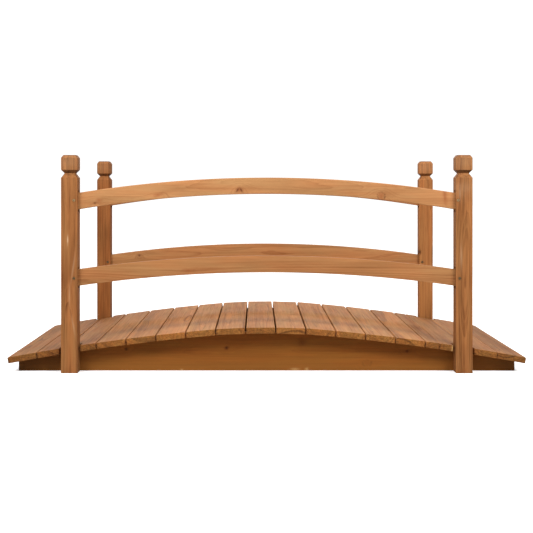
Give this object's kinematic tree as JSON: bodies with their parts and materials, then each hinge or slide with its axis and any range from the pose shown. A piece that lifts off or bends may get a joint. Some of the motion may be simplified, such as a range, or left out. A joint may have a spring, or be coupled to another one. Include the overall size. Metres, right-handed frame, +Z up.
{
  "type": "moon bridge",
  "caption": "Small arched garden footbridge in stained softwood: board deck on curved side beams, with capped square posts and curved double rails along both sides.",
  "frame": {"origin": "on the ground under the middle of the span", "axes": "+X along the walkway, +Y from the front side frame to the back one, +Z up"},
  "size_m": [1.4174, 0.7, 0.595],
  "materials": {
    "beam_wood": "brown stained fir, sawn, satin",
    "board_wood": "brown stained fir, planed, satin",
    "post_wood": "honey brown stained fir, planed, satin",
    "rail_wood": "honey brown stained fir, planed, satin",
    "screw_steel": "zinc plated steel, dull"
  },
  "bodies": {
    "root": {"front_beam": "beam_wood", "back_beam": "beam_wood", "deck_board_01": "board_wood", "deck_board_02": "board_wood", "deck_board_03": "board_wood", "deck_board_04": "board_wood", "deck_board_05": "board_wood", "deck_board_06": "board_wood", "deck_board_07": "board_wood", "deck_board_08": "board_wood", "deck_board_09": "board_wood", "deck_board_10": "board_wood", "deck_board_11": "board_wood", "deck_board_12": "board_wood", "deck_board_13": "board_wood", "deck_board_14": "board_wood", "deck_board_15": "board_wood", "deck_board_16": "board_wood", "deck_board_17": "board_wood", "deck_board_18": "board_wood", "front_left_post": "post_wood", "front_right_post": "post_wood", "back_left_post": "post_wood", "back_right_post": "post_wood", "front_top_rail": "rail_wood", "back_top_rail": "rail_wood", "front_lower_rail": "rail_wood", "back_lower_rail": "rail_wood"}
  },
  "joints": []
}
